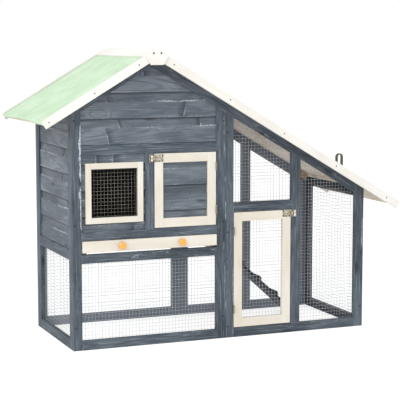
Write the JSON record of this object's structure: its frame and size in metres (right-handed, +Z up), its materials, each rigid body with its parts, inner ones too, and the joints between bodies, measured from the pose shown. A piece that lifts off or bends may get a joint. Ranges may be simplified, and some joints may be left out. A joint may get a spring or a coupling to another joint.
{
  "type": "rabbit hutch",
  "caption": "Two-level wooden hutch with a boarded house over a wire run, an uneven gable roof, hinged doors, a pull-out tray and a ramp.",
  "frame": {"origin": "on the ground, under the middle of the roof's outline", "axes": "+Z up; -Y out of the front, where the doors and the tray are; +X towards the low end of the run"},
  "size_m": [1.4, 0.593, 1.061],
  "materials": {
    "slate_wood": "slate grey stained softwood, grain and knots showing",
    "cream_paint": "cream stained softwood",
    "white_paint": "off-white painted softwood",
    "bare_wood": "unfinished softwood",
    "felt": "mint green mineral felt, matt and sanded",
    "wire": "galvanised, dull",
    "zinc": "yellow passivated zinc",
    "tray_steel": "galvanised sheet, spangled",
    "orange_knob": "orange-brown varnished turned wood",
    "black_screw": "black oxide",
    "nail": "dull steel"
  },
  "bodies": {
    "hutch_body": {"left_frame": "slate_wood", "left_boards": "slate_wood", "left_mesh": "wire", "house_front_frame": "slate_wood", "house_front_boards": "slate_wood", "house_front_mesh": "wire", "window_frame": "cream_paint", "window_mesh": "wire", "house_rear_frame": "slate_wood", "house_rear_boards": "slate_wood", "house_rear_mesh": "wire", "run_front_frame": "slate_wood", "run_front_meshes": "wire", "run_rear_frame": "slate_wood", "run_rear_meshes": "wire", "run_end_frame": "slate_wood", "run_end_mesh": "wire", "partition_frame": "slate_wood", "partition_boards": "slate_wood", "tray_bearers": "bare_wood", "roof_left_boards": "bare_wood", "roof_right_boards": "bare_wood", "roof_left_felt": "felt", "roof_right_felt": "felt", "front_left_barge": "white_paint", "front_right_barge": "white_paint", "rear_left_barge": "white_paint", "rear_right_barge": "white_paint", "ridge_cap_left": "white_paint", "ridge_cap_right": "white_paint", "ridge_plate_front": "white_paint", "ridge_plate_rear": "white_paint", "roof_battens": "bare_wood", "roof_strap": "zinc", "frame_screws": "black_screw", "barge_nails": "nail", "ridge_screws": "black_screw", "door_stops": "slate_wood", "hinge_fixed_leaves": "zinc", "hinge_pins": "zinc", "latch_plates": "zinc", "ramp_bracket": "zinc"},
    "upper_door": {"upper_door_frame": "cream_paint", "upper_door_panel": "slate_wood", "upper_door_hinges": "zinc", "upper_hasp_base": "zinc"},
    "upper_hasp_arm": {"upper_hasp": "zinc"},
    "upper_knob": {"upper_latch_knob": "zinc"},
    "run_door": {"run_door_frame": "cream_paint", "run_door_mesh": "wire", "run_door_hinges": "zinc", "run_hasp_base": "zinc"},
    "run_hasp_arm": {"run_hasp": "zinc"},
    "run_knob": {"run_latch_knob": "zinc"},
    "tray": {"tray_pan": "tray_steel", "tray_front": "cream_paint", "tray_knobs": "orange_knob"},
    "ramp": {"ramp_board": "slate_wood", "ramp_cleats": "slate_wood", "ramp_hinge": "zinc"}
  },
  "joints": [
    {"name": "upper_door_hinge", "type": "hinge", "parent": "hutch_body", "child": "upper_door", "pos_m": [-0.038, -0.2382, 0.557], "axis": [0, 0, 1], "range_deg": [0, 95]},
    {"name": "upper_hasp_pivot", "type": "hinge", "parent": "upper_door", "child": "upper_hasp_arm", "pos_m": [-0.277, -0.2379, 0.674], "axis": [0, 0, 1], "range_deg": [0, 165]},
    {"name": "upper_knob_turn", "type": "hinge", "parent": "hutch_body", "child": "upper_knob", "pos_m": [-0.289, -0.243, 0.674], "axis": [0, -1, 0], "range_deg": [0, 90]},
    {"name": "run_door_hinge", "type": "hinge", "parent": "hutch_body", "child": "run_door", "pos_m": [0.032, -0.2382, 0.2505], "axis": [0, 0, -1], "range_deg": [0, 95]},
    {"name": "run_hasp_pivot", "type": "hinge", "parent": "run_door", "child": "run_hasp_arm", "pos_m": [0.264, -0.2379, 0.452], "axis": [0, 0, -1], "range_deg": [0, 165]},
    {"name": "run_knob_turn", "type": "hinge", "parent": "hutch_body", "child": "run_knob", "pos_m": [0.276, -0.243, 0.452], "axis": [0, -1, 0], "range_deg": [0, 90]},
    {"name": "tray_slide", "type": "slide", "parent": "hutch_body", "child": "tray", "axis": [0, -1, 0], "range_m": [0, 0.4]},
    {"name": "ramp_lift", "type": "hinge", "parent": "hutch_body", "child": "ramp", "pos_m": [0.005, 0.107, 0.394], "axis": [0, -1, 0], "range_deg": [0, 16]}
  ]
}
